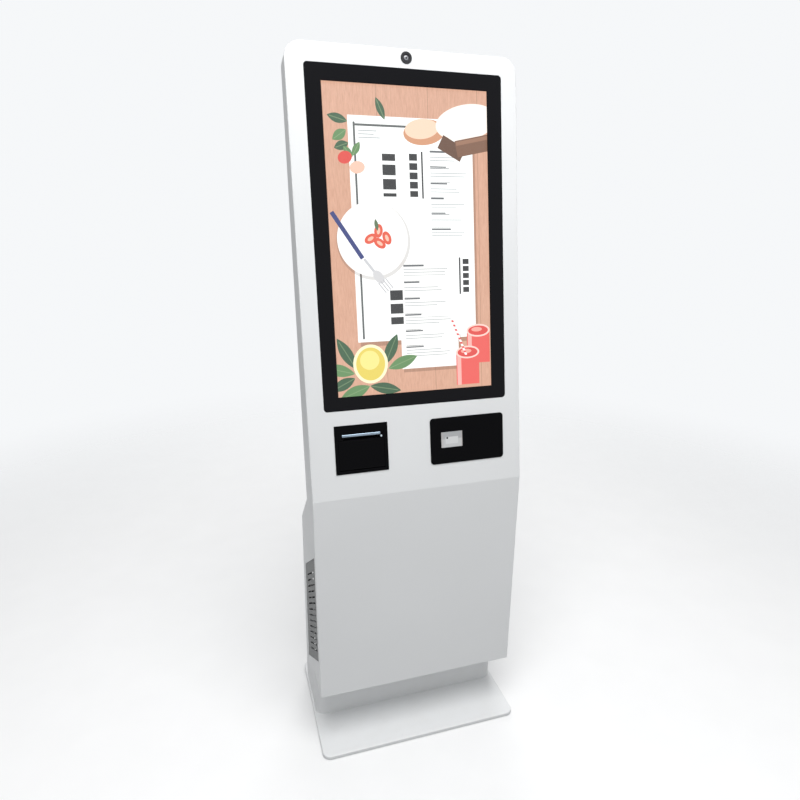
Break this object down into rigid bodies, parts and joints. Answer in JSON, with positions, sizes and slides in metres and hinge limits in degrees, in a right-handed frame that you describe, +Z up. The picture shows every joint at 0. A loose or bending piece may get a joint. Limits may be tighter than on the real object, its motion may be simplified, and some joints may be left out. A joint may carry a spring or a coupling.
{
  "type": "touchscreen kiosk",
  "caption": "Free-standing touchscreen kiosk with a leaning portrait display head, ticket printer, scan window, camera and a cabinet with a rear service door on a floor plate.",
  "frame": {"origin": "middle of the footprint at floor level", "axes": "+Z up, the display faces -Y and leans back towards +Y, +X is to the right of a person facing the display"},
  "size_m": [0.566, 0.384, 1.7771],
  "materials": {
    "white_powder_coat": "fine satin powder coat, cool white",
    "zinc_steel": "bright zinc plated sheet",
    "grille_grey": "matt dark grey",
    "touch_glass": "polished, black printed border",
    "screen": "lit display picture",
    "black_plastic": "fine satin black",
    "black_rubber": "matt",
    "window_grey": "satin pale grey window",
    "lens_glass": "polished dark lens",
    "lit_button": "satin grey cap",
    "ticket_paper": "smooth thermal paper",
    "card_core": "raw board",
    "lock_chrome": "polished",
    "computer_case": "black anodised",
    "blade_brass": "bright"
  },
  "bodies": {
    "cabinet": {"base_bolts": "zinc_steel", "base_plate": "white_powder_coat", "camera_box": "black_plastic", "camera_ring": "black_plastic", "camera_window": "lens_glass", "computer": "computer_case", "cover_screws": "zinc_steel", "display_driver": "zinc_steel", "display_gasket": "black_rubber", "display_straps": "zinc_steel", "equipment_shelf": "zinc_steel", "fan_frame": "black_plastic", "floor_pan": "zinc_steel", "foot_pads": "black_rubber", "front_panel": "white_powder_coat", "head_back": "white_powder_coat", "head_uprights": "zinc_steel", "hinge_leaves": "white_powder_coat", "hinge_pins": "zinc_steel", "inlet_blades": "blade_brass", "kick_panel": "white_powder_coat", "lcd_screen": "screen", "lcd_tray": "zinc_steel", "left_side_grille": "grille_grey", "left_side_plate": "white_powder_coat", "lock_keeper": "zinc_steel", "power_inlet": "black_plastic", "power_supply": "zinc_steel", "print_head": "zinc_steel", "printer_bezel": "black_plastic", "printer_case": "black_plastic", "reader_box": "black_plastic", "reader_panel": "black_plastic", "rear_sill": "white_powder_coat", "right_side_grille": "grille_grey", "right_side_plate": "white_powder_coat", "roll_spindle": "zinc_steel", "scan_window": "window_grey", "sensor_eye": "lens_glass", "slope_panel": "white_powder_coat", "speaker_cones": "black_rubber", "speakers": "black_plastic", "tear_bar": "zinc_steel", "toe_cover": "white_powder_coat", "touch_glass": "touch_glass"},
    "rear_door": {"rear_door": "white_powder_coat", "hinge_knuckles": "white_powder_coat", "lock_housing": "lock_chrome"},
    "lock": {"lock_plug": "lock_chrome", "lock_cam": "zinc_steel"},
    "ticket_door": {"ticket_door": "black_plastic"},
    "platen": {"platen_roller": "black_rubber", "platen_shaft": "zinc_steel"},
    "paper": {"paper_roll": "ticket_paper", "roll_core": "card_core"},
    "feed_button": {"feed_button": "lit_button"},
    "computer_button": {"computer_button": "black_plastic"},
    "power_rocker": {"power_rocker": "black_plastic"},
    "fan_rotor": {"fan_rotor": "black_plastic"}
  },
  "joints": [
    {"name": "rear_door_hinge", "type": "hinge", "parent": "cabinet", "child": "rear_door", "pos_m": [0.252, 0.11785, 0.33155], "axis": [0, 0.0888, -0.9961], "range_deg": [0, 110]},
    {"name": "lock_turn", "type": "hinge", "parent": "rear_door", "child": "lock", "pos_m": [-0.225, 0.11254, 0.32907], "axis": [0, 0.9961, 0.0888], "range_deg": [0, 90]},
    {"name": "ticket_door_hinge", "type": "hinge", "parent": "cabinet", "child": "ticket_door", "pos_m": [-0.1495, -0.12713, 0.82365], "axis": [1, 0, 0], "range_deg": [0, 80]},
    {"name": "platen_turn", "type": "hinge", "parent": "ticket_door", "child": "platen", "pos_m": [-0.1495, -0.1052, 0.8855], "axis": [1, 0, 0], "continuous": true},
    {"name": "roll_turn", "type": "hinge", "parent": "cabinet", "child": "paper", "pos_m": [-0.1495, -0.07476, 0.84075], "axis": [1, 0, 0], "continuous": true},
    {"name": "feed_button_press", "type": "slide", "parent": "cabinet", "child": "feed_button", "axis": [0, 0.988, -0.1547], "range_m": [0, 0.0009], "stiffness_N_per_m": 300, "springref_m": -0.001},
    {"name": "computer_button_press", "type": "slide", "parent": "cabinet", "child": "computer_button", "axis": [0, -1, 0], "range_m": [0, 0.0013], "stiffness_N_per_m": 300, "springref_m": -0.001},
    {"name": "power_rocker_tip", "type": "hinge", "parent": "cabinet", "child": "power_rocker", "pos_m": [0.159, 0.13477, 0.0459], "axis": [1, 0, 0], "range_deg": [-14, 0]},
    {"name": "fan_turn", "type": "hinge", "parent": "cabinet", "child": "fan_rotor", "pos_m": [0, 0.01549, 0.64619], "axis": [0, 0.6738, 0.7389], "continuous": true}
  ],
  "couplings": [
    {"joint": "platen_turn", "follows": "roll_turn", "ratio": 6.6}
  ]
}
